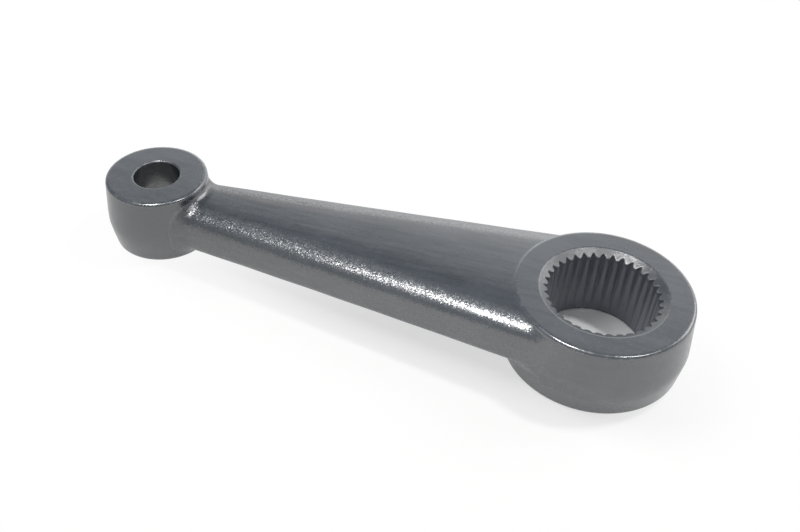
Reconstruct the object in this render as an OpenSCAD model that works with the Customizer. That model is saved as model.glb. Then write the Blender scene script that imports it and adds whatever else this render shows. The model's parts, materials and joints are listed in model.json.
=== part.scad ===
// Pitman arm: one steel forging with a splined boss, a crowned shank and an eye for a tapered stud.
// Millimetres. The spline axis is +Z through the origin, both bosses stand on Z = 0, the eye is on -X.

/* [Overall] */
// Distance from the spline axis to the stud axis
centre_distance = 140; // [120:1:200]
// Height of both bosses from the lower faces to the upper faces
boss_height = 22.4; // [18:0.2:30]
// Radius of the rounding on the rims of both bosses
rim_radius = 1; // [0.4:0.1:1.4]
// Height of the line where the forging dies part, at which both bosses are widest
parting_height = 8.5; // [6:0.5:10]

/* [Splined boss] */
// Diameter of the splined boss at its upper rim
boss_diameter = 50.8; // [50:0.2:58]
// Draft of the boss's radius from the upper rim down to the parting line
boss_upper_draft = 1.5; // [0.5:0.1:2]
// Draft of the boss's radius from the parting line down to the lower rim
boss_lower_draft = 0.9; // [0.2:0.1:1.5]

/* [Spline] */
// Number of teeth round the bore
tooth_count = 36; // [24:1:40]
// Diameter of the bore over the tooth tips
tip_diameter = 30.4; // [29:0.1:32]
// Depth of the grooves between the teeth, at the upper face
groove_depth = 1.4; // [0.8:0.1:1.6]
// Taper of the groove floors, which rise to the tips downwards: length for each millimetre of diameter
groove_taper = 9; // [9:1:40]
// Width of a tooth at its tip
tip_width = 0.95; // [0.6:0.05:1]
// Width of a groove at its floor
groove_floor = 0.4; // [0.2:0.05:0.5]
// Diameter of the lead-in chamfer at the upper face
lead_diameter = 36.4; // [36:0.2:38]
// Angle of the lead-in chamfer to the face
lead_angle = 30; // [20:1:45]
// Width of the chamfer at the lower face, beyond the tooth tips
exit_chamfer = 0.2; // [0.2:0.1:0.6]

/* [Stud eye] */
// Diameter of the eye at its upper rim
eye_diameter = 31; // [29:0.2:36]
// Draft of the eye's radius from the upper rim down to the parting line
eye_upper_draft = 1.2; // [0.5:0.1:2]
// Draft of the eye's radius from the parting line down to the lower rim
eye_lower_draft = 1.3; // [0.2:0.1:1.5]
// Diameter of the tapered hole at the upper face, its small end
stud_diameter = 13.9; // [11:0.1:15]
// Taper of the hole: length for each millimetre of change in diameter
stud_taper = 8; // [7:0.5:12]
// Width of the edge break at both ends of the hole
edge_break = 0.4; // [0.2:0.1:0.6]

/* [Shank] */
// Width of the shank where it meets the eye
shank_width_eye = 20.9; // [16:0.1:22]
// Width of the shank where it meets the splined boss
shank_width_boss = 47.8; // [36:0.2:47.8]
// Depth of the shank's crown below the upper face of the eye
crown_drop_eye = 3.8; // [2:0.1:6]
// Depth of the shank's crown below the upper face of the splined boss
crown_drop_boss = 0.1; // [0.1:0.1:4]
// Height of the shank's underside above the lower face of the eye
lift_eye = 1.8; // [1.4:0.1:4]
// Height of the shank's underside above the lower face of the splined boss
lift_boss = 6.2; // [2:0.1:7]
// Fullness of the shank's section at the eye: 2 is an ellipse, larger values have squarer shoulders
shank_fullness_eye = 3.1; // [2.4:0.1:3.6]
// Fullness of the shank's section at the splined boss
shank_fullness_boss = 4.1; // [2.4:0.1:4.4]
// Radius of the fillet that runs from the shank on to the eye
fillet_eye = 2.6; // [1.5:0.1:5]
// Radius of the fillet that runs from the shank on to the splined boss
fillet_boss = 2.6; // [1.5:0.1:5]

/* [Hidden] */

// Facets of round features, and segments of one rim rounding
$fn = 120;
rim_steps = 6;
// Points round one shank section, sections in one fillet and in the plain span
ring_points = 64;
fillet_steps = 6;
span_steps = 12;
// A fillet stops at this turn, so that it meets the boss at a small clear angle
fillet_turn = 72;
// How far the end of each fillet is sunk into the side of its boss
fillet_sink = 0.2;
// How far the shank runs on inside each boss, and how far cutters pass through the faces
root_depth = 3;
through = 1;

boss_radius = boss_diameter / 2;
eye_radius = eye_diameter / 2;
tip_radius = tip_diameter / 2;
groove_radius = tip_radius + groove_depth;
lead_radius = lead_diameter / 2;
stud_top_radius = stud_diameter / 2;
stud_low_radius = stud_top_radius + boss_height / stud_taper / 2;
shank_span = centre_distance - eye_radius - eye_upper_draft / 2 - boss_radius - boss_upper_draft / 2;

function between(a, b, t) = a + (b - a) * t;
function signed_pow(v, e) = sign(v) * pow(abs(v), e);

// Points of a quarter-round rim about a centre, turning counter-clockwise from an angle
function rim_arc(centre, start) =
    [for (k = [0 : rim_steps])
        let (turn = start + 90 * k / rim_steps)
        centre + rim_radius * [cos(turn), sin(turn)]];

// Radius just inside a boss's drafted side at the height z
function side_radius(radius, upper_draft, lower_draft, z) =
    radius - fillet_sink + (z > parting_height
        ? upper_draft * (boss_height - rim_radius - z) / (boss_height - rim_radius - parting_height)
        : upper_draft - lower_draft * (parting_height - z) / (parting_height - rim_radius));

// Where the fillet ends along X at each boss, at the sideways distance y and the height z
function eye_face(y, z) =
    -centre_distance + sqrt(pow(side_radius(eye_radius, eye_upper_draft, eye_lower_draft, z), 2) - y * y);
function boss_face(y, z) =
    -sqrt(pow(side_radius(boss_radius, boss_upper_draft, boss_lower_draft, z), 2) - y * y);

// One section of a fillet as [distance from the boss as a share of the span, growth of the section]
function fillet_ring(radius, turn) =
    [radius * (sin(fillet_turn) - sin(turn)) / shank_span, radius * (1 - cos(turn))];
eye_fillet = [for (k = [fillet_steps : -1 : 0]) fillet_ring(fillet_eye, fillet_turn * k / fillet_steps)];
boss_fillet = [for (k = [0 : fillet_steps]) fillet_ring(fillet_boss, fillet_turn * k / fillet_steps)];
eye_growth = eye_fillet[0][1];
boss_growth = boss_fillet[fillet_steps][1];

// Every section from inside the eye to inside the splined boss, as [place along the span, growth]
rings = concat(
    [[-root_depth / shank_span, eye_growth]],
    eye_fillet,
    [for (k = [1 : span_steps - 1])
        [between(eye_fillet[fillet_steps][0], 1 - boss_fillet[0][0], k / span_steps), 0]],
    [for (ring = boss_fillet) [1 - ring[0], ring[1]]],
    [[1 + root_depth / shank_span, boss_growth]]);

// Crown, underside, half width and fullness of the section at a place along the span
function crown(u) = boss_height - between(crown_drop_eye, crown_drop_boss, u);
function underside(u) = between(lift_eye, lift_boss, u);
function half_width(u) = between(shank_width_eye, shank_width_boss, u) / 2;
function fullness(u) = between(shank_fullness_eye, shank_fullness_boss, u * u);

// One point of a section: a superellipse that the fillet grows along its own normal.
// The fillet shrinks where it nears a rim of the boss, so that the rim stays whole.
function ring_point(ring, turn) =
    let (u = ring[0],
         place = min(max(u, 0), 1),
         a = half_width(place),
         b = (crown(place) - underside(place)) / 2,
         full = fullness(place),
         y = a * signed_pow(cos(turn), 2 / full),
         z = b * signed_pow(sin(turn), 2 / full),
         slope = [signed_pow(y / a, full - 1) / a, signed_pow(z / b, full - 1) / b],
         normal = slope / norm(slope),
         by_eye = u < 0.5,
         full_growth = by_eye ? eye_growth : boss_growth,
         side_room = (by_eye ? eye_radius : boss_radius) - rim_radius - abs(y),
         rim_room = (z > 0 ? boss_height - underside(place) : crown(place)) - rim_radius - b - abs(z),
         room = min(side_room / abs(normal[0]), rim_room / abs(normal[1])),
         share = max(0, min(1, room / full_growth)),
         grown = [y, z] + ring[1] * share * normal,
         height = underside(place) + b + grown[1],
         eye_end = eye_face((by_eye ? grown[0] : y) / a * half_width(0), height),
         boss_end = boss_face((by_eye ? y : grown[0]) / a * half_width(1), height))
    [between(eye_end, boss_end, u), grown[0], height];

// The forged shank: sections swept from the eye to the splined boss
module shank() {
    last = len(rings) - 1;
    skin = [for (ring = rings, k = [0 : ring_points - 1]) ring_point(ring, 360 * k / ring_points)];
    ends = [for (ring = [rings[0], rings[last]])
        let (height = (crown(ring[0]) + underside(ring[0])) / 2)
        [between(eye_face(0, height), boss_face(0, height), ring[0]), 0, height]];
    sides = [for (j = [0 : last - 1], k = [0 : ring_points - 1])
        let (p = j * ring_points + k,
             q = j * ring_points + (k + 1) % ring_points)
        each [[p, p + ring_points, q], [q, p + ring_points, q + ring_points]]];
    caps = [for (k = [0 : ring_points - 1])
        let (m = (k + 1) % ring_points,
             far = last * ring_points)
        each [[len(skin), k, m], [len(skin) + 1, far + m, far + k]]];
    polyhedron(points = concat(skin, ends), faces = concat(sides, caps), convexity = 4);
}

// A boss turned from a profile with rounded rims, widest at the parting line
module turned_boss(radius, upper_draft, lower_draft) {
    parting_radius = radius + upper_draft;
    rotate_extrude()
        polygon(concat(
            [[0, 0]],
            rim_arc([parting_radius - lower_draft - rim_radius, rim_radius], -90),
            [[parting_radius, parting_height]],
            rim_arc([radius - rim_radius, boss_height - rim_radius], 0),
            [[0, boss_height]]));
}

// Size of the tapered grooves at the height z, as a share of their size at the upper face
function groove_share(z) = 1 - (boss_height - z) / groove_taper / 2 / groove_radius;

// Outline of the grooves at the upper face, with the tooth tips left to the plain bore
module groove_outline() {
    pitch = 360 / tooth_count;
    tip_half = tip_width / 2 / tip_radius * 180 / PI;
    floor_half = groove_floor / 2 / groove_radius * 180 / PI;
    inner = tip_radius - groove_depth / 4;
    lean = (pitch / 2 - tip_half - floor_half) / 4;
    polygon([for (k = [0 : tooth_count - 1])
        let (mid = k * pitch)
        each [for (corner = [[-pitch / 2 + tip_half - lean, inner], [-floor_half, groove_radius],
                             [floor_half, groove_radius], [pitch / 2 - tip_half + lean, inner]])
            corner[1] * [cos(mid + corner[0]), sin(mid + corner[0])]]]);
}

// The serrated bore with its lead-in chamfer above and a smaller chamfer below.
// The tips are straight, and the grooves get shallower downwards.
module spline_bore() {
    lead_depth = (lead_radius - tip_radius + through) * tan(lead_angle);
    lead_rise = through * tan(lead_angle);
    low_share = groove_share(-through);
    high_share = groove_share(boss_height + through);
    translate([0, 0, -through]) {
        cylinder(h = boss_height + 2 * through, r = tip_radius);
        linear_extrude(height = boss_height + 2 * through, scale = high_share / low_share)
            scale(low_share) groove_outline();
        cylinder(h = exit_chamfer + 2 * through,
                 r1 = tip_radius + exit_chamfer + through,
                 r2 = tip_radius - through);
    }
    translate([0, 0, boss_height - lead_depth])
        cylinder(h = lead_depth + lead_rise, r1 = tip_radius - through, r2 = lead_radius + through);
}

// The tapered hole for the stud, small end up, with both edges broken
module stud_hole() {
    rate = 1 / stud_taper / 2;
    translate([-centre_distance, 0, 0]) {
        translate([0, 0, -through])
            cylinder(h = boss_height + 2 * through,
                     r1 = stud_low_radius + through * rate,
                     r2 = stud_top_radius - through * rate);
        translate([0, 0, -through])
            cylinder(h = edge_break + 2 * through,
                     r1 = stud_low_radius + edge_break + through,
                     r2 = stud_low_radius - through);
        translate([0, 0, boss_height - edge_break - through])
            cylinder(h = edge_break + 2 * through,
                     r1 = stud_top_radius - through,
                     r2 = stud_top_radius + edge_break + through);
    }
}

module pitman_arm() {
    color("dimgray")
        difference() {
            union() {
                turned_boss(boss_radius, boss_upper_draft, boss_lower_draft);
                translate([-centre_distance, 0, 0])
                    turned_boss(eye_radius, eye_upper_draft, eye_lower_draft);
                shank();
            }
            spline_bore();
            stud_hole();
        }
}

pitman_arm();
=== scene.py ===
"""Pitman arm: the coated skin of the forging, a pale studio floor, soft light and the photograph's view.

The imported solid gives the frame. The skin is worked out again here as fine smooth surfaces, in metres.
"""

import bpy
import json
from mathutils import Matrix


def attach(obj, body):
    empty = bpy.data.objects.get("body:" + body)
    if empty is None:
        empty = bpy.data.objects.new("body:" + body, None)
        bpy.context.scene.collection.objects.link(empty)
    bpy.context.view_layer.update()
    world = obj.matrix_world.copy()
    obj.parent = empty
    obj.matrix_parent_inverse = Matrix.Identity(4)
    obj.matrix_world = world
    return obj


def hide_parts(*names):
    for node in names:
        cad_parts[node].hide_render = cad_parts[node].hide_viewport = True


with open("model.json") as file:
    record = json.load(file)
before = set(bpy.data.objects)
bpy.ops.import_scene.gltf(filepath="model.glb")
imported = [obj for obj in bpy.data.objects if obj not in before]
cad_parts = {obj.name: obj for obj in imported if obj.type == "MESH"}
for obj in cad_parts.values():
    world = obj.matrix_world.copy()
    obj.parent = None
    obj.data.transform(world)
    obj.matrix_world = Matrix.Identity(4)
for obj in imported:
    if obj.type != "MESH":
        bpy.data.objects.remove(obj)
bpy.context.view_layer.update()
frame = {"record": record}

import json
import math

import bmesh
import bpy
import numpy as np
from bpy.props import FloatProperty, FloatVectorProperty, IntProperty, PointerProperty
from mathutils import Matrix, Vector

bl_info = {
    "name": "Pitman arm",
    "version": (1, 0, 0),
    "blender": (4, 5, 0),
    "location": "View3D > Sidebar > Pitman arm",
    "description": "Builds the coated skin of a forged steering arm and its studio",
    "category": "Add Mesh",
}

MM = 0.001
NODE = "pitman_arm"
MOUNTS = {mount["name"]: mount for mount in frame["record"]["mounts"]}
FACE_HEIGHT = MOUNTS["boss_upper_face"]["pos_m"][2]
EYE_DISTANCE = -MOUNTS["stud_hole"]["pos_m"][0]
TIP_RADIUS = MOUNTS["spline"]["dims"]["r_mm"] * MM
IMAGE_WIDTH = 800

# How finely the surfaces are drawn. A boss's outline has seven corners, each with a side after it:
# upper rim and side, belly and lower side, lower rim and face, exit, bore wall, lead-in, hole rim and upper face.
CORNER_POINTS = 5
SIDE_POINTS = (10, 6, 8, 2, 14, 5, 8)
WALL = 4                        # the bore wall's number in that order
TOOTH_POINTS = 14               # round the splined boss, for each tooth
EYE_POINTS = 240                # round the eye
SECTION_POINTS = 160            # round the shank
SECTIONS = 170                  # along the shank between its fillets
FILLET_SECTIONS = 15            # along each fillet
REACH_LIMIT = 0.45              # most of a side that one rounded corner may take
CROWDING = 0.85                 # how far the points on a side draw together towards its ends
SLIVER = 0.002 * MM             # edges shorter than this go once the shells are joined

# Small forms of the forging
FLANK_SOFTNESS = 0.3            # share of a tooth's flank over which its ends round off
RUN_OUT = 0.15 * MM             # rounding where a groove runs out into the plain bore
RIDGE_WIDTH = 0.5 * MM          # half width of the ridge at the trim line
FILLET_SWEEP = math.radians(86)
ROOT_DEPTH = 2.0 * MM           # how far the shank runs on inside the bosses
SECTION_RADIUS = 12.0           # mean radius of the shank in millimetres, for waves that run round it
WAVE_COUNT = 7
WAVE_FADE = 0.08                # share of the shank at each end over which the waves die out

# Widths of one feature in each pattern of the coat
SWELL_WIDTH = 7 * MM
STREAK_WIDTH = 1.8 * MM
STREAK_STRETCH = 0.12           # scale of the streaks along the arm, so they are about eight times as long
DRIFT_WIDTH = 25 * MM
CHIP_WIDTH = 1.5 * MM


def length(name, description, default):
    """A length property in metres."""
    return FloatProperty(name=name, description=description, default=default, unit="LENGTH", precision=5)


def number(name, description, default, **limits):
    """A plain number property."""
    return FloatProperty(name=name, description=description, default=default, **limits)


def angle(name, description, degrees):
    """An angle property whose default is given in degrees."""
    return FloatProperty(name=name, description=description, default=math.radians(degrees), subtype="ANGLE")


def shade(name, description, default_hex):
    """A colour property whose default is an sRGB hex value."""
    return FloatVectorProperty(name=name, description=description, default=linear(default_hex), size=3,
                               subtype="COLOR", min=0.0, max=1.0)


def linear(hex_colour):
    """sRGB hex to linear: a straight part near black, and a power of 2.4 above it."""
    part = np.array([int(hex_colour[k:k + 2], 16) for k in (1, 3, 5)]) / 255.0
    return tuple(float(v) for v in np.where(part <= 0.04045, part / 12.92, ((part + 0.055) / 1.055) ** 2.4))


class ArmSizes(bpy.types.PropertyGroup):
    """Sizes of the forging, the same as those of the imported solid."""
    rim: length("Rim rounding", "Reach of the rounding on the bosses' rims", 1.0 * MM)
    parting: length("Parting height", "Height of the line where the dies part", 8.5 * MM)
    trim: length("Trim line", "Height of the ridge that the trimmed flash leaves", 0.10 * MM)
    edge: length("Coated edge", "Reach of the rounding that the coat gives a machined edge", 0.22 * MM)

    boss_radius: length("Boss radius", "Radius of the splined boss at its upper rim", 25.4 * MM)
    boss_upper_draft: length("Boss upper draft", "Radius gained down to the parting line", 1.5 * MM)
    boss_lower_draft: length("Boss lower draft", "Radius lost from there to the lower rim", 0.9 * MM)
    boss_belly: length("Boss belly", "Reach of the rounding at the boss's parting line", 2.5 * MM)

    teeth: IntProperty(name="Teeth", description="Teeth of the spline", default=36, min=24, max=40)
    groove_depth: length("Groove depth", "Depth of the grooves at the upper face", 1.4 * MM)
    groove_taper: number("Groove taper", "Length for each unit of the floors' diameter", 9.0)
    tip_width: length("Tip width", "Width of a tooth at its tip", 0.95 * MM)
    groove_floor: length("Groove floor", "Width of a groove at its floor", 0.4 * MM)
    lead_radius: length("Lead-in radius", "Radius of the chamfer at the upper face", 18.2 * MM)
    lead_angle: angle("Lead-in angle", "Angle of that chamfer to the face", 30)
    exit_chamfer: length("Exit chamfer", "Chamfer at the lower face, beyond the tooth tips", 0.2 * MM)

    eye_radius: length("Eye radius", "Radius of the eye at its upper rim", 15.5 * MM)
    eye_upper_draft: length("Eye upper draft", "Radius gained down to the parting line", 1.2 * MM)
    eye_lower_draft: length("Eye lower draft", "Radius lost from there to the lower rim", 1.3 * MM)
    eye_belly: length("Eye belly", "Reach of the rounding at the eye's parting line", 3.5 * MM)
    stud_radius: length("Stud hole radius", "Radius of the tapered hole at the upper face", 6.95 * MM)
    stud_taper: number("Stud taper", "Length for each unit of change in diameter", 8.0)
    stud_break: length("Hole edge", "Edge break at the ends of the stud hole", 0.4 * MM)

    width_eye: length("Shank width at the eye", "Width of the shank where it meets the eye", 20.9 * MM)
    width_boss: length("Shank width at the boss", "Width of the shank where it meets the boss", 47.8 * MM)
    drop_eye: length("Crown drop at the eye", "Depth of the crown below the eye's face", 3.8 * MM)
    drop_boss: length("Crown drop at the boss", "Depth of the crown below the boss's face", 0.1 * MM)
    lift_eye: length("Lift at the eye", "Height of the underside at the eye", 1.8 * MM)
    lift_boss: length("Lift at the boss", "Height of the underside at the boss", 6.2 * MM)
    fullness_eye: number("Fullness at the eye", "Exponent of the shank's section there", 3.1)
    fullness_boss: number("Fullness at the boss", "Exponent of the shank's section there", 4.1)
    fillet_eye: length("Fillet at the eye", "Radius of the fillet on to the eye", 2.6 * MM)
    fillet_boss: length("Fillet at the boss", "Radius of the fillet on to the splined boss", 2.6 * MM)
    sink: length("Fillet sink", "Depth by which the fillets' ends run into the bosses", 0.1 * MM)
    unevenness: length("Unevenness", "Height of the slow waves that the dies leave on the shank", 0.05 * MM)


class CoatLook(bpy.types.PropertyGroup):
    """Colours and grain of the coat."""
    # The darker coat colour is partly painted shade: towards the eye, high on the sides and in the eye's hole. The
    # paler one is partly painted light: low on the boss's side, on the fillets and on the steep sides by the boss.
    body: shade("Thick coat", "Finish where it has run thick, as at the eye", "#20262c")
    thin_and_painted_light: shade("Thin coat", "Finish where it is thinner and greyer", "#4b5056")
    bare: shade("Worn edge", "Steel that shows through at the edges", "#6f7275")
    # The pale bore colour is painted light that lifts the shade in the splined boss's bore
    broached_and_painted_light: shade("Broached wall", "Finish on the broached bore, the thinnest of all", "#6d7179")
    grain: length("Blast grain", "Width of one dimple left by the shot", 0.45 * MM)
    steepness: number("Steepness", "How steep those dimples are", 0.8)
    swell: length("Swell", "Height of the slower waves in the finish", 0.1 * MM)
    flow: number("Flow", "Height of the flow streaks as a share of the swell", 0.7)
    roughness: number("Roughness", "Roughness of the finish", 0.17, min=0.0, max=1.0)
    dullness: number("Dullness", "Roughness that cut surfaces add", 0.25)
    haze: number("Haze", "Roughness that blasted surfaces add", 0.18)
    cut_sheen: number("Cut sheen", "Specular level of fully cut surfaces", 0.25)


class Studio(bpy.types.PropertyGroup):
    """Camera of the photograph, floor and lights."""
    focal_pixels: number("Focal length", "In pixels of the photograph", 910.45)
    azimuth: angle("Azimuth", "Turn of the camera about Z from the -Y side", 17.131)
    elevation: angle("Elevation", "Height angle of the camera", 41.925)
    roll: angle("Roll", "Turn of the camera about its own axis", 3.2036)
    distance: length("Distance", "From the camera to the point on the floor at the image's centre", 288.938 * MM)
    target: FloatVectorProperty(name="Target", description="That point on the floor", size=3, subtype="XYZ",
                                default=(-63.132 * MM, 11.969 * MM, 0.0))
    floor: shade("Floor", "Pale floor", "#fbfbfa")
    floor_lift: number("Floor lift", "How far the floor's shadows are lifted to white beside the arm", 0.62,
                       min=0.0, max=1.0)
    floor_width: length("Floor width", "Side of the square floor", 6.0)
    spark_power: number("Spark power", "Watts of the small lamp that only gloss shows", 2.8)
    glint_power: number("Glint power", "Watts of the lamp on the right that only gloss shows", 1.5)
    left_power: number("Left power", "Watts of the soft lamp on the left, which gloss leaves out", 2.8)
    key_power: number("Key power", "Watts of the small lamp behind, which gloss leaves out", 1.75)
    soft_power: number("Soft power", "Watts of the wide soft box behind on the right", 2.6)
    backdrop_power: number("Backdrop power", "Watts of the wide low lamp at the back", 2.2)
    sky: number("Sky", "Strength of the even light all round", 0.29)
    room: shade("Room", "Dim cool room that gloss shows overhead", "#868c94")
    front: shade("Front", "Rest of the room behind the camera", "#b0b4b8")


def full_turn(count):
    """Angles spread evenly over a full turn."""
    return np.arange(count) * (2 * np.pi / count)


def signed_power(value, exponent):
    """The power of a value's size, with the value's own sign."""
    return np.sign(value) * np.abs(value) ** exponent


def soft_profile(corners, reaches):
    """A closed outline with rounded corners, for many outlines at once.

    corners is (outlines, corners, 2). Each corner is replaced by a quadratic curve that leaves its two sides
    at the given reach from it and has the corner as its middle control point. Between the curves, each side
    gets its count of points, closer together near its ends so that flats shade flat.
    """
    before = np.roll(corners, 1, axis=1) - corners
    after = np.roll(corners, -1, axis=1) - corners
    size_before = np.linalg.norm(before, axis=2, keepdims=True)
    size_after = np.linalg.norm(after, axis=2, keepdims=True)
    reach = np.minimum(np.asarray(reaches)[None, :, None], REACH_LIMIT * np.minimum(size_before, size_after))
    enter = corners + before / size_before * reach
    leave = corners + after / size_after * reach
    t = np.linspace(0.0, 1.0, CORNER_POINTS)[None, None, :, None]
    curves = ((1 - t) ** 2 * enter[:, :, None] + 2 * t * (1 - t) * corners[:, :, None]
              + t ** 2 * leave[:, :, None])
    next_enter = np.roll(enter, -1, axis=1)
    rows = []
    for k, count in enumerate(SIDE_POINTS):
        rows.append(curves[:, k])
        s = np.arange(1, count + 1) / (count + 1)
        s = (s - CROWDING * np.sin(2 * np.pi * s) / (2 * np.pi))[None, :, None]
        start, stop = leave[:, k, None], next_enter[:, k, None]
        rows.append(start + (stop - start) * s)
    return np.concatenate(rows, axis=1)


def turned(centre_x, turns, outline):
    """Points of an outline (radius, height) carried round a vertical axis: one outline for each turn."""
    radius, height = outline[..., 0], outline[..., 1]
    turn = turns[:, None]
    return np.stack([centre_x + radius * np.cos(turn), radius * np.sin(turn), height], axis=2)


def bore_wall(turns, height, sizes):
    """Radius of the serrated bore at each turn and height.

    At the upper face, a trapezoid wave: groove floor, straight flank, tooth tip. The flank's ramp is the
    difference of two hyperbolas, so that both its ends are rounded as a coated edge is. Below, the wave shrinks
    evenly towards the axis, and a hyperbola takes it over into the plain bore on which the tips lie.
    """
    pitch = 2 * np.pi / sizes.teeth
    floor_radius = TIP_RADIUS + sizes.groove_depth
    off = np.abs((turns + pitch / 2) % pitch - pitch / 2)
    floor_half = sizes.groove_floor / 2 / floor_radius
    flank = pitch / 2 - sizes.tip_width / 2 / TIP_RADIUS - floor_half
    t = (off - floor_half) / flank
    ramp = 0.5 * (1 + np.sqrt(t ** 2 + FLANK_SOFTNESS ** 2) - np.sqrt((t - 1) ** 2 + FLANK_SOFTNESS ** 2))
    wave = floor_radius - sizes.groove_depth * np.clip(ramp, 0.0, 1.0)
    depth = wave * (1 - (FACE_HEIGHT - height) / sizes.groove_taper / 2 / floor_radius) - TIP_RADIUS
    return TIP_RADIUS + (depth + np.sqrt(depth ** 2 + RUN_OUT ** 2)) / 2


def turned_boss(sizes, centre_x, turns, radius, upper_draft, lower_draft, belly, bore, sides, broached_and_painted_light, wall=None):
    """A boss turned about its axis: faces, rounded rims, drafted sides that are widest at the parting line.

    bore is the four inner corners (radius, height) at each turn, from the lower face up to the upper one.
    wall gives the bore's radius at a height where it isn't straight. sides gives the share of dark coat on the
    upper and the lower side, and the argument after it how far the bore is cut and painted paler. These shares are
    partly
    painted shade and painted light: dark high on the sides, on the lead-in and in the eye's hole, pale low on the
    boss's side and on its bore wall.
    The trim line's ridge is a bell curve over the height, and two sines make it uneven round the boss.
    Returns the points, and for each point its share of dark coat, and how far it is blasted, cut and worn.
    """
    height, rim, widest = FACE_HEIGHT, sizes.rim, radius + upper_draft - sizes.trim
    top = radius - upper_draft * rim / (height - rim - sizes.parting)
    foot = widest - lower_draft * sizes.parting / (sizes.parting - rim)
    outside = np.array([(top, height), (widest, sizes.parting), (foot, 0.0)])
    corners = np.concatenate([np.repeat(outside[None], len(turns), axis=0), bore], axis=1)
    reaches = [rim, belly, rim, sizes.edge, sizes.edge, 2.5 * sizes.edge, sizes.edge]
    outline = soft_profile(corners, reaches)
    if wall:
        start = (WALL + 1) * CORNER_POINTS + sum(SIDE_POINTS[:WALL])
        along = slice(start, start + SIDE_POINTS[WALL])
        outline[:, along, 0] = wall(outline[:, along, 1])
    waviness = 0.6 + 0.4 * np.sin(3 * turns + 1.0) * np.sin(7 * turns + 2.0)
    ridge = np.exp(-((outline[..., 1] - sizes.parting) / RIDGE_WIDTH) ** 2) * (outline[..., 0] > radius)
    outline[..., 0] += sizes.trim * waviness[:, None] * ridge

    # For each corner and the side after it. The share of dark coat is partly painted shade and painted light
    shares = {
        "forged": ((0.25, sides[0]), sides, (0.2, 0.25), (0.2, 0.2), (0.2, 1 - broached_and_painted_light), (0.2, 0.9), (0.3, 0.28)),
        "blasted": ((0.2, 0.2), (0.2, 0.2), (0.2, 0.0), (0.0, 0.0), (0.0, 0.0), (0.2, 0.4), (0.1, 0.0)),
        "cut": ((0.1, 0.0), (0.0, 0.0), (0.2, 0.3), (0.5, 0.5), (broached_and_painted_light, broached_and_painted_light), (0.5, 0.6), (0.4, 0.25)),
        "worn": ((0.5, 0.0), (0.1, 0.0), (0.5, 0.0), (0.5, 0.0), (0.5, 0.0), (0.5, 0.0), (0.5, 0.0)),
    }
    skin = {}
    for name, pairs in shares.items():
        row = np.concatenate([[corner] * CORNER_POINTS + [side] * count
                              for (corner, side), count in zip(pairs, SIDE_POINTS)])
        skin[name] = np.repeat(row[None], len(turns), axis=0)
    return turned(centre_x, turns, outline), skin


def splined_boss(sizes):
    """The large boss, round a serrated bore with a conical lead-in and a small exit chamfer."""
    turns = full_turn(sizes.teeth * TOOTH_POINTS)
    slope = math.tan(sizes.lead_angle)
    lead_end = FACE_HEIGHT - (sizes.lead_radius - bore_wall(turns, FACE_HEIGHT, sizes)) * slope
    upper = bore_wall(turns, lead_end, sizes)
    lower = bore_wall(turns, sizes.exit_chamfer, sizes)
    same = np.ones_like(turns)
    bore = np.stack([lower + sizes.exit_chamfer, 0 * same,
                     lower, sizes.exit_chamfer * same,
                     upper, FACE_HEIGHT - (sizes.lead_radius - upper) * slope,
                     sizes.lead_radius * same, FACE_HEIGHT * same], axis=1).reshape(-1, 4, 2)
    # Its upper side is painted darker, and its lower side and bore wall paler: painted shade and painted light
    return turned_boss(sizes, 0.0, turns, sizes.boss_radius, sizes.boss_upper_draft, sizes.boss_lower_draft,
                       sizes.boss_belly, bore, sides=(0.46, 0.0), broached_and_painted_light=1.0,
                       wall=lambda level: bore_wall(turns[:, None], level, sizes))


def stud_eye(sizes):
    """The small boss, round a tapered hole with broken edges."""
    turns = full_turn(EYE_POINTS)
    upper, edge = sizes.stud_radius, sizes.stud_break
    lower = upper + FACE_HEIGHT / sizes.stud_taper / 2
    hole = np.array([(lower + edge, 0.0), (lower, edge), (upper, FACE_HEIGHT - edge), (upper + edge, FACE_HEIGHT)])
    # The eye's sides and hole are painted dark: painted shade
    return turned_boss(sizes, -EYE_DISTANCE, turns, sizes.eye_radius, sizes.eye_upper_draft, sizes.eye_lower_draft,
                       sizes.eye_belly, np.repeat(hole[None], len(turns), axis=0), sides=(1.0, 0.85), broached_and_painted_light=0.2)


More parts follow.
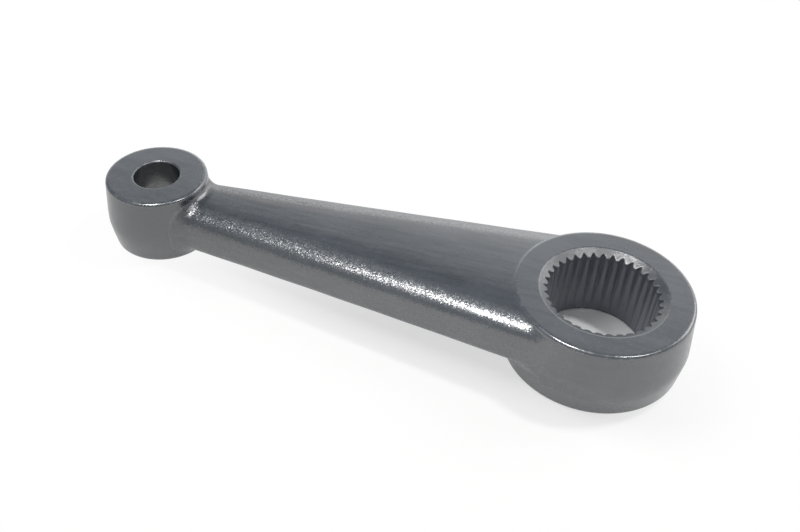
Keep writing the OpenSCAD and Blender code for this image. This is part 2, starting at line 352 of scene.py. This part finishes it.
def tapering_shank(sizes):
    """The shank as sections carried from the eye to the splined boss.

    Each section is a superellipse. Its place runs evenly between the two bosses' own curved faces, so the ends
    lie on the bosses. Near an end the section grows along its normal by radius * (1 - cos turn) while the
    distance left is radius * (sin last - sin turn): a fillet. The growth is held back near a boss's rim.
    A sum of slow sines, 14 to 60 mm long, moves the skin in and out along its normal.
    Returns the points, and for each point its share of dark coat, and how far it is blasted, cut and worn.
    """
    height = FACE_HEIGHT
    span = (EYE_DISTANCE - sizes.eye_radius - sizes.eye_upper_draft / 2
            - sizes.boss_radius - sizes.boss_upper_draft / 2)
    sweep = np.linspace(0.0, FILLET_SWEEP, FILLET_SECTIONS)

    def fillet(radius):
        """Distances left, as a share of the span, and growths."""
        return radius * (np.sin(FILLET_SWEEP) - np.sin(sweep)) / span, radius * (1 - np.cos(sweep))

    def half_width(share):
        """Half the shank's width at a share of its length."""
        return (sizes.width_eye + (sizes.width_boss - sizes.width_eye) * share) / 2

    eye_place, eye_grow = fillet(sizes.fillet_eye)
    boss_place, boss_grow = fillet(sizes.fillet_boss)
    root = ROOT_DEPTH / span
    middle = np.linspace(eye_place[0], 1 - boss_place[0], SECTIONS)[1:-1]
    u = np.concatenate([[-root], eye_place[::-1], middle, 1 - boss_place, [1 + root]])
    growth = np.concatenate([[eye_grow[-1]], eye_grow[::-1], 0 * middle, boss_grow, [boss_grow[-1]]])
    turns = full_turn(SECTION_POINTS)

    # The plain section and its normal
    place = np.clip(u, 0, 1)[:, None]
    crown = height - sizes.drop_eye - (sizes.drop_boss - sizes.drop_eye) * place
    underside = sizes.lift_eye + (sizes.lift_boss - sizes.lift_eye) * place
    a, b = half_width(place), (crown - underside) / 2
    middle_height = (crown + underside) / 2
    full = sizes.fullness_eye + (sizes.fullness_boss - sizes.fullness_eye) * place ** 2
    y = a * signed_power(np.cos(turns)[None], 2 / full)
    z = b * signed_power(np.sin(turns)[None], 2 / full)
    slope = np.stack([signed_power(y / a, full - 1) / a, signed_power(z / b, full - 1) / b])
    normal = slope / np.linalg.norm(slope, axis=0)

    # The fillets' growth, as far as the bosses' rims leave room
    by_eye = (u < 0.5)[:, None]
    side_room = np.where(by_eye, sizes.eye_radius, sizes.boss_radius) - sizes.rim - np.abs(y)
    rim_room = np.where(z > 0, height - middle_height, middle_height) - sizes.rim - np.abs(z)
    lean = np.maximum(np.abs(normal), 1e-9)
    room = np.minimum(side_room / lean[0], rim_room / lean[1])
    grow = growth[:, None] * np.clip(room / np.where(by_eye, eye_grow[-1], boss_grow[-1]), 0.0, 1.0)
    wide, tall = y + grow * normal[0], z + grow * normal[1]

    # The bosses' drafted faces at each point's level, and the point's place between them
    level = middle_height + tall
    above = np.clip((level - sizes.parting) / (height - sizes.rim - sizes.parting), 0, 1)
    below = np.clip((sizes.parting - level) / (sizes.parting - sizes.rim), 0, 1)

    def face(radius, upper_draft, lower_draft, across):
        """Distance from a boss's axis to its drafted face, along the arm, at a distance to its side."""
        skin = radius - sizes.sink + upper_draft * (1 - above) - lower_draft * below
        return np.sqrt(skin ** 2 - across ** 2)

    eye_end = -EYE_DISTANCE + face(sizes.eye_radius, sizes.eye_upper_draft, sizes.eye_lower_draft,
                                   np.where(by_eye, wide, y) / a * half_width(0))
    boss_end = -face(sizes.boss_radius, sizes.boss_upper_draft, sizes.boss_lower_draft,
                     np.where(by_eye, y, wide) / a * half_width(1))
    x = eye_end + (boss_end - eye_end) * u[:, None]

    waves = np.random.default_rng(7)
    along, around = x / MM, turns[None] * SECTION_RADIUS
    uneven = sum(np.sin(waves.uniform(0.1, 0.45) * along + waves.uniform(-0.4, 0.4) * around
                        + waves.uniform(0, 2 * np.pi)) for _ in range(WAVE_COUNT)) / WAVE_COUNT
    uneven *= sizes.unevenness * np.clip(np.minimum(place, 1 - place) / WAVE_FADE, 0, 1)
    points = np.stack([x, wide + uneven * normal[0], middle_height + tall + uneven * normal[1]], axis=2)

    # The sides are blasted, most near the eye. The share of dark coat is partly the die-formed skin and partly
    # painted shade and painted light: darkest towards the eye, paler on the fillets and on the steep sides by the
    # boss
    kept = np.repeat(np.clip(1.0 - 0.4 * growth / eye_grow[-1], 0.6, 1.0)[:, None], len(turns), axis=1)
    steep = np.clip((np.abs(normal[0]) - 0.05) / 0.17, 0, 1)
    steep = steep ** 2 * (3 - 2 * steep)
    blasted = kept * (0.1 + 0.9 * steep) * (0.6 + 0.4 * (1 - place) ** 2)
    forged = kept * (0.42 + 0.58 * (1 - place) ** 3 - 0.42 * steep * place ** 2)
    return points, {"forged": forged, "blasted": blasted, "cut": 0 * forged, "worn": 0 * forged}


def grid_quads(rows, columns, ring):
    """Quads of a grid of points whose columns join up end to end, and in a ring its rows too."""
    r = np.arange(rows if ring else rows - 1)[:, None]
    c = np.arange(columns)[None, :]
    down, across = (r + 1) % rows, (c + 1) % columns
    quads = np.stack([r * columns + c, r * columns + across, down * columns + across, down * columns + c], axis=2)
    return quads.reshape(-1, 4)


def closed_ends(points):
    """The points of a tube of sections with a middle point for each end, and the triangles that close it.

    Along the tube, that point is level with the end's shallowest point, so the caps stay clear of the bores.
    """
    rows, columns = points.shape[:2]
    ends = points[[0, -1]].mean(axis=1)
    ends[:, 0] = points[0, :, 0].max(), points[-1, :, 0].min()
    flat = np.concatenate([points.reshape(-1, 3), ends])
    k = np.arange(columns)
    n, far = (k + 1) % columns, (rows - 1) * columns
    near_cap = np.stack([np.full(columns, rows * columns), n, k], axis=1)
    far_cap = np.stack([np.full(columns, rows * columns + 1), far + k, far + n], axis=1)
    return flat, np.concatenate([near_cap, far_cap])


def shell(context, name, grid, skin, ring):
    """A closed shell from a grid of points: a ring of outlines, or a tube of sections with its ends closed."""
    points, faces = grid.reshape(-1, 3), grid_quads(*grid.shape[:2], ring).tolist()
    if not ring:
        points, caps = closed_ends(grid)
        faces += caps.tolist()
    mesh = bpy.data.meshes.new(name)
    mesh.from_pydata(points, [], faces, shade_flat=False)
    for share, values in skin.items():
        values = np.pad(values.ravel(), (0, len(points) - values.size)).astype(np.float32)
        mesh.attributes.new(share, "FLOAT", "POINT").data.foreach_set("value", values)
    piece = bpy.data.objects.new(name, mesh)
    context.scene.collection.objects.link(piece)
    return piece


def fused(context, name, shells):
    """The union of closed shells as one closed mesh, freed of the slivers at its seams. The shells go."""
    first = shells[0]
    for other in shells[1:]:
        union = first.modifiers.new(other.name, "BOOLEAN")
        union.operation, union.solver, union.object = "UNION", "MANIFOLD", other
    mesh = bpy.data.meshes.new_from_object(first.evaluated_get(context.evaluated_depsgraph_get()))
    mesh.name = name
    mesh.materials.clear()
    for piece in shells:
        bpy.data.meshes.remove(piece.data)
    if not mesh.polygons:
        raise RuntimeError("The shells could not be joined")
    work = bmesh.new()
    work.from_mesh(mesh)
    bmesh.ops.dissolve_degenerate(work, dist=SLIVER, edges=work.edges)
    work.to_mesh(mesh)
    work.free()
    mesh.validate()
    return mesh


def add_node(tree, kind, inputs=None, **settings):
    """Adds a node, sets its properties, and sets or links its inputs by name or number."""
    node = tree.nodes.new(kind)
    for name, value in settings.items():
        setattr(node, name, value)
    for name, value in (inputs or {}).items():
        if isinstance(value, bpy.types.NodeSocket):
            tree.links.new(value, node.inputs[name])
        else:
            node.inputs[name].default_value = value
    return node


def coat_material(look):
    """Semi-gloss black dip coat, stoved over a shot-blasted steel forging.

    The coat is smooth and glossy by itself, but on the shank it follows the shot's dimples, so a lamp breaks
    into sparks there. On the machined faces it lies flatter. It is thinner, greyer and a little worn on edges.
    Its colour also carries painted shade and painted light: darker towards the eye and high on the sides, paler
    low on the boss's side, by the boss and in the bore.
    """
    material = bpy.data.materials.new("dip_coated_forged_steel")
    material.use_nodes = True
    tree = material.node_tree
    tree.nodes.clear()
    place = add_node(tree, "ShaderNodeTexCoord").outputs["Object"]
    forged, blasted, cut, worn = (add_node(tree, "ShaderNodeAttribute", attribute_name=name).outputs["Fac"]
                                  for name in ("forged", "blasted", "cut", "worn"))

    # Dimples of the shot: a noise vector tips the normal, because a height bump fades at one or two pixels.
    # Real ones are about 0.25 mm wide. They are drawn nearly twice as coarse, so that they show.
    dimples = add_node(tree, "ShaderNodeTexNoise", {"Vector": place, "Scale": 1.0 / look.grain, "Detail": 1.0})
    tip = add_node(tree, "ShaderNodeVectorMath", {0: dimples.outputs["Color"], 1: (0.5, 0.5, 0.5)},
                   operation="SUBTRACT")
    steepness = add_node(tree, "ShaderNodeMath", {0: blasted, 1: look.steepness}, operation="MULTIPLY")
    tip = add_node(tree, "ShaderNodeVectorMath", {0: tip.outputs[0], "Scale": steepness.outputs[0]},
                   operation="SCALE")

    # A slower swell, and on the die-formed skin streaks along the arm where the metal flowed in the dies
    swell = add_node(tree, "ShaderNodeTexNoise", {"Vector": place, "Scale": 1.0 / SWELL_WIDTH, "Detail": 2.0})
    along = add_node(tree, "ShaderNodeMapping", {"Vector": place, "Scale": (STREAK_STRETCH, 1.0, 1.0)})
    streaks = add_node(tree, "ShaderNodeTexNoise", {
        "Vector": along.outputs[0], "Scale": 1.0 / STREAK_WIDTH, "Detail": 3.0})
    flow = add_node(tree, "ShaderNodeMapRange", {
        "Value": forged, "From Min": 0.25, "From Max": 0.45, "To Max": look.flow})
    height = add_node(tree, "ShaderNodeMath", {
        0: streaks.outputs["Fac"], 1: flow.outputs[0], 2: swell.outputs["Fac"]}, operation="MULTIPLY_ADD")
    relief = add_node(tree, "ShaderNodeBump", {
        "Height": height.outputs[0], "Strength": 0.4, "Distance": look.swell})
    relief = add_node(tree, "ShaderNodeVectorMath", {0: relief.outputs[0], 1: tip.outputs[0]}, operation="ADD")
    relief = add_node(tree, "ShaderNodeVectorMath", {0: relief.outputs[0]}, operation="NORMALIZE")

    # The colour is darker where the share of dark coat is high, which is partly painted shade and painted light,
    # and it drifts over a few centimetres and along the streaks
    drift = add_node(tree, "ShaderNodeTexNoise", {"Vector": place, "Scale": 1.0 / DRIFT_WIDTH, "Detail": 3.0})
    drift = add_node(tree, "ShaderNodeMath", {0: drift.outputs["Fac"], 1: streaks.outputs["Fac"]},
                     operation="ADD")
    drift = add_node(tree, "ShaderNodeMapRange", {
        "Value": drift.outputs[0], "From Min": 0.7, "From Max": 1.3, "To Min": -0.3, "To Max": 0.3})
    thick_and_painted_shade = add_node(tree, "ShaderNodeMath", {0: forged, 1: drift.outputs[0]}, operation="ADD", use_clamp=True)
    coat = add_node(tree, "ShaderNodeMix", {
        "Factor": thick_and_painted_shade.outputs[0], "A": (*look.thin_and_painted_light, 1.0), "B": (*look.body, 1.0)}, data_type="RGBA")

    # The boss's bore wall is paler still: painted light that lifts the shade in the bore
    pale = add_node(tree, "ShaderNodeMapRange", {"Value": cut, "From Min": 0.6, "From Max": 1.0})
    coat = add_node(tree, "ShaderNodeMix", {
        "Factor": pale.outputs[0], "A": coat.outputs["Result"], "B": (*look.broached_and_painted_light, 1.0)}, data_type="RGBA")

    # Edges wear in small broken patches
    patches = add_node(tree, "ShaderNodeTexNoise", {"Vector": place, "Scale": 1.0 / CHIP_WIDTH, "Detail": 4.0})
    chipped = add_node(tree, "ShaderNodeMapRange", {
        "Value": patches.outputs["Fac"], "From Min": 0.5, "From Max": 0.75})
    wear = add_node(tree, "ShaderNodeMath", {0: chipped.outputs[0], 1: worn}, operation="MULTIPLY")
    colour = add_node(tree, "ShaderNodeMix", {
        "Factor": wear.outputs[0], "A": coat.outputs["Result"], "B": (*look.bare, 1.0)}, data_type="RGBA")

    # Cut surfaces are duller than the die-formed skin and shine less, and blasted ones are a little hazy
    gloss = add_node(tree, "ShaderNodeMapRange", {
        "Value": patches.outputs["Fac"], "From Min": 0.3, "From Max": 0.7,
        "To Min": look.roughness - 0.04, "To Max": look.roughness + 0.06})
    for share, added in ((cut, look.dullness), (blasted, look.haze)):
        gloss = add_node(tree, "ShaderNodeMath", {0: share, 1: added, 2: gloss.outputs[0]},
                         operation="MULTIPLY_ADD")
    sheen = add_node(tree, "ShaderNodeMapRange", {
        "Value": cut, "From Min": 0.3, "From Max": 1.0, "To Min": 0.5, "To Max": look.cut_sheen})

    # The IOR is high for a coat, because this one is full of iron oxide, whose own index is about 2.4
    surface = add_node(tree, "ShaderNodeBsdfPrincipled", {
        "Base Color": colour.outputs["Result"], "Roughness": gloss.outputs[0], "IOR": 2.2,
        "Specular IOR Level": sheen.outputs[0], "Normal": relief.outputs[0]})
    add_node(tree, "ShaderNodeOutputMaterial", {"Surface": surface.outputs[0]})
    return material


class ARM_OT_forging(bpy.types.Operator):
    """Builds the coated skin of the forging: splined boss, shank and stud eye in one mesh"""
    bl_idname = "arm.forging"
    bl_label = "Forging"

    def execute(self, context):
        sizes = context.scene.arm_sizes
        shells = [shell(context, "boss", *splined_boss(sizes), ring=True),
                  shell(context, "eye", *stud_eye(sizes), ring=True),
                  shell(context, "shank", *tapering_shank(sizes), ring=False)]
        mesh = fused(context, "forging", shells)
        mesh.materials.append(coat_material(context.scene.coat_look))
        piece = bpy.data.objects.new("forging", mesh)
        context.scene.collection.objects.link(piece)
        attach(piece, "root")
        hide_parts(NODE)
        return {"FINISHED"}


class ARM_OT_studio(bpy.types.Operator):
    """Builds the pale floor, the soft lights and the photograph's camera"""
    bl_idname = "arm.studio"
    bl_label = "Studio"

    def execute(self, context):
        studio = context.scene.studio
        context.scene.view_settings.view_transform = "Standard"
        self.add_floor(context, studio)
        self.add_lamps(context, studio)
        self.add_room(context, studio)
        self.add_camera(context, studio)
        return {"FINISHED"}

    def add_floor(self, context, studio):
        """A square floor at the arm's resting plane, a hair lower so that no two faces coincide.

        Camera, mirror and glass rays see it lifted towards white, more so away from the arm, so its shadows are
        pale. The lift stops under the splined boss, because the floor inside the bore is dark.
        """
        half, level = studio.floor_width / 2, -0.02 * MM
        dark_inside, white_outside = 18 * MM, 25 * MM
        shadow_centre, shadow_squeeze = (-40 * MM, -30 * MM, 0), (0.6, 1, 1)
        shadow_from, shadow_to, far_lift = 15 * MM, 70 * MM, 0.95

        mesh = bpy.data.meshes.new("floor")
        corners = [(-half, -half, level), (half, -half, level), (half, half, level), (-half, half, level)]
        mesh.from_pydata(corners, [], [(0, 1, 2, 3)])
        material = bpy.data.materials.new("matt_paper")
        material.use_nodes = True
        tree = material.node_tree
        tree.nodes.clear()
        path = add_node(tree, "ShaderNodeLightPath").outputs
        seen = add_node(tree, "ShaderNodeMath", {0: path["Is Camera Ray"], 1: path["Is Glossy Ray"]},
                        operation="MAXIMUM")
        seen = add_node(tree, "ShaderNodeMath", {0: seen.outputs[0], 1: path["Is Transmission Ray"]},
                        operation="MAXIMUM")
        place = add_node(tree, "ShaderNodeTexCoord").outputs["Object"]
        away = add_node(tree, "ShaderNodeVectorMath", {0: place}, operation="LENGTH")
        outside = add_node(tree, "ShaderNodeMapRange", {
            "Value": away.outputs["Value"], "From Min": dark_inside, "From Max": white_outside})
        beside = add_node(tree, "ShaderNodeVectorMath", {0: place, 1: shadow_centre}, operation="SUBTRACT")
        beside = add_node(tree, "ShaderNodeVectorMath", {0: beside.outputs[0], 1: shadow_squeeze},
                          operation="MULTIPLY")
        beside = add_node(tree, "ShaderNodeVectorMath", {0: beside.outputs[0]}, operation="LENGTH")
        lift = add_node(tree, "ShaderNodeMapRange", {
            "Value": beside.outputs["Value"], "From Min": shadow_from, "From Max": shadow_to,
            "To Min": studio.floor_lift, "To Max": far_lift}, interpolation_type="SMOOTHSTEP")
        share = add_node(tree, "ShaderNodeMath", {0: outside.outputs[0], 1: lift.outputs[0]},
                         operation="MULTIPLY")
        share = add_node(tree, "ShaderNodeMath", {0: seen.outputs[0], 1: share.outputs[0]}, operation="MULTIPLY")
        paper = add_node(tree, "ShaderNodeBsdfDiffuse", {"Color": (*studio.floor, 1.0)})
        white = add_node(tree, "ShaderNodeEmission", {"Strength": 1.0})
        surface = add_node(tree, "ShaderNodeMixShader", {
            0: share.outputs[0], 1: paper.outputs[0], 2: white.outputs[0]})
        add_node(tree, "ShaderNodeOutputMaterial", {"Surface": surface.outputs[0]})
        mesh.materials.append(material)
        floor = bpy.data.objects.new("floor", mesh)
        context.scene.collection.objects.link(floor)

    def add_lamps(self, context, studio):
        """Lamps that aim at the arm's middle.

        Two small lamps show only in gloss, as the sparks along the crown and the glints on the rims. The key and
        the soft lamp on the left only light: their shadows and their glow on the floor show, their images don't.
        """
        middle = Vector((-EYE_DISTANCE / 2, 0.0, FACE_HEIGHT))
        lamps = (("spark", (-0.16, -0.16, 0.60), (0.16, 0.16), studio.spark_power),
                 ("glint", (0.30, -0.05, 0.60), (0.16, 0.16), studio.glint_power),
                 ("key", (0.20, 0.21, 0.62), (0.07, 0.07), studio.key_power),
                 ("left_soft", (-0.50, 0.05, 0.55), (0.40, 0.40), studio.left_power),
                 ("soft_box", (0.62, 0.62, 0.60), (0.60, 0.50), studio.soft_power),
                 ("backdrop", (-0.10, 1.20, 0.28), (1.80, 0.50), studio.backdrop_power))
        for name, place, size, power in lamps:
            lamp = bpy.data.lights.new(name, "AREA")
            lamp.shape = "RECTANGLE"
            lamp.size, lamp.size_y = size
            lamp.energy = power
            holder = bpy.data.objects.new(name, lamp)
            holder.location = place
            holder.rotation_euler = (Vector(place) - middle).to_track_quat("Z", "Y").to_euler()
            holder.visible_diffuse = name not in ("spark", "glint")
            holder.visible_glossy = name not in ("key", "left_soft")
            context.scene.collection.objects.link(holder)

    def add_room(self, context, studio):
        """A room that camera and glass rays see as white, and gloss as white low at the back and dim overhead.

        How far a direction counts as low at the back is its dot product with one that leans back and down. All
        other rays get the even light of the sky.
        """
        back_and_down, dim_at, white_at = (0.12, 1.0, -1.0), -0.11, 0.225
        room_from, front_from = 0.2, -0.6

        world = bpy.data.worlds.new("studio")
        context.scene.world = world
        world.use_nodes = True
        tree = world.node_tree
        tree.nodes.clear()
        path = add_node(tree, "ShaderNodeLightPath").outputs
        way = add_node(tree, "ShaderNodeTexCoord").outputs["Generated"]
        lean = add_node(tree, "ShaderNodeVectorMath", {0: way, 1: back_and_down}, operation="DOT_PRODUCT")
        white = add_node(tree, "ShaderNodeMapRange", {
            "Value": lean.outputs["Value"], "From Min": dim_at, "From Max": white_at},
            interpolation_type="SMOOTHSTEP")
        depth = add_node(tree, "ShaderNodeSeparateXYZ", {0: way})
        front = add_node(tree, "ShaderNodeMapRange", {
            "Value": depth.outputs["Y"], "From Min": room_from, "From Max": front_from})
        room = add_node(tree, "ShaderNodeMix", {
            "Factor": front.outputs[0], "A": (*studio.room, 1.0), "B": (*studio.front, 1.0)}, data_type="RGBA")
        mirrored = add_node(tree, "ShaderNodeMix", {
            "Factor": white.outputs[0], "A": room.outputs["Result"], "B": (1, 1, 1, 1)}, data_type="RGBA")
        lit = add_node(tree, "ShaderNodeMix", {
            "Factor": path["Is Glossy Ray"], "A": (*[studio.sky] * 3, 1.0), "B": mirrored.outputs["Result"]},
            data_type="RGBA")
        seen = add_node(tree, "ShaderNodeMath", {0: path["Is Camera Ray"], 1: path["Is Transmission Ray"]},
                        operation="MAXIMUM")
        colour = add_node(tree, "ShaderNodeMix", {
            "Factor": seen.outputs[0], "A": lit.outputs["Result"], "B": (1, 1, 1, 1)}, data_type="RGBA")
        background = add_node(tree, "ShaderNodeBackground", {"Color": colour.outputs["Result"], "Strength": 1.0})
        add_node(tree, "ShaderNodeOutputWorld", {"Surface": background.outputs[0]})

    def add_camera(self, context, studio):
        """The photograph's camera: turned about Z, raised, rolled, and set back from its target."""
        ca, sa = math.cos(studio.azimuth), math.sin(studio.azimuth)
        ce, se = math.cos(studio.elevation), math.sin(studio.elevation)
        back = Vector((sa * ce, -ca * ce, se))
        right = Vector((0, 0, 1)).cross(back).normalized()
        up = back.cross(right)
        cr, sr = math.cos(studio.roll), math.sin(studio.roll)
        right, up = cr * right + sr * up, cr * up - sr * right
        camera = bpy.data.cameras.new("camera")
        camera.sensor_width = 36.0
        camera.lens = studio.focal_pixels / IMAGE_WIDTH * camera.sensor_width
        camera.clip_start = 0.01
        holder = bpy.data.objects.new("camera", camera)
        place = Vector(studio.target) + back * studio.distance
        holder.matrix_world = Matrix.Translation(place) @ Matrix((right, up, back)).transposed().to_4x4()
        context.scene.collection.objects.link(holder)
        context.scene.camera = holder


class ARM_PT_panel(bpy.types.Panel):
    """Lists the steps that build the arm and its studio, and their values"""
    bl_label = "Pitman arm"
    bl_idname = "ARM_PT_panel"
    bl_space_type = "VIEW_3D"
    bl_region_type = "UI"
    bl_category = "Pitman arm"

    def draw(self, context):
        for operator in OPERATORS:
            self.layout.operator(operator.bl_idname)
        for name, group in GROUPS.items():
            box = self.layout.box()
            for value in group.__annotations__:
                box.prop(getattr(context.scene, name), value)


GROUPS = {"arm_sizes": ArmSizes, "coat_look": CoatLook, "studio": Studio}
OPERATORS = (ARM_OT_studio, ARM_OT_forging)
CLASSES = (*GROUPS.values(), *OPERATORS, ARM_PT_panel)


def register():
    """Registers the classes and hangs the groups of values on the scene."""
    for cls in CLASSES:
        bpy.utils.register_class(cls)
    for name, group in GROUPS.items():
        setattr(bpy.types.Scene, name, PointerProperty(type=group))


def unregister():
    """Takes back what register did, in reverse."""
    for name in GROUPS:
        delattr(bpy.types.Scene, name)
    for cls in reversed(CLASSES):
        bpy.utils.unregister_class(cls)


def main():
    """Builds everything."""
    register()
    bpy.ops.arm.studio()
    bpy.ops.arm.forging()


if __name__ == "__main__":
    main()
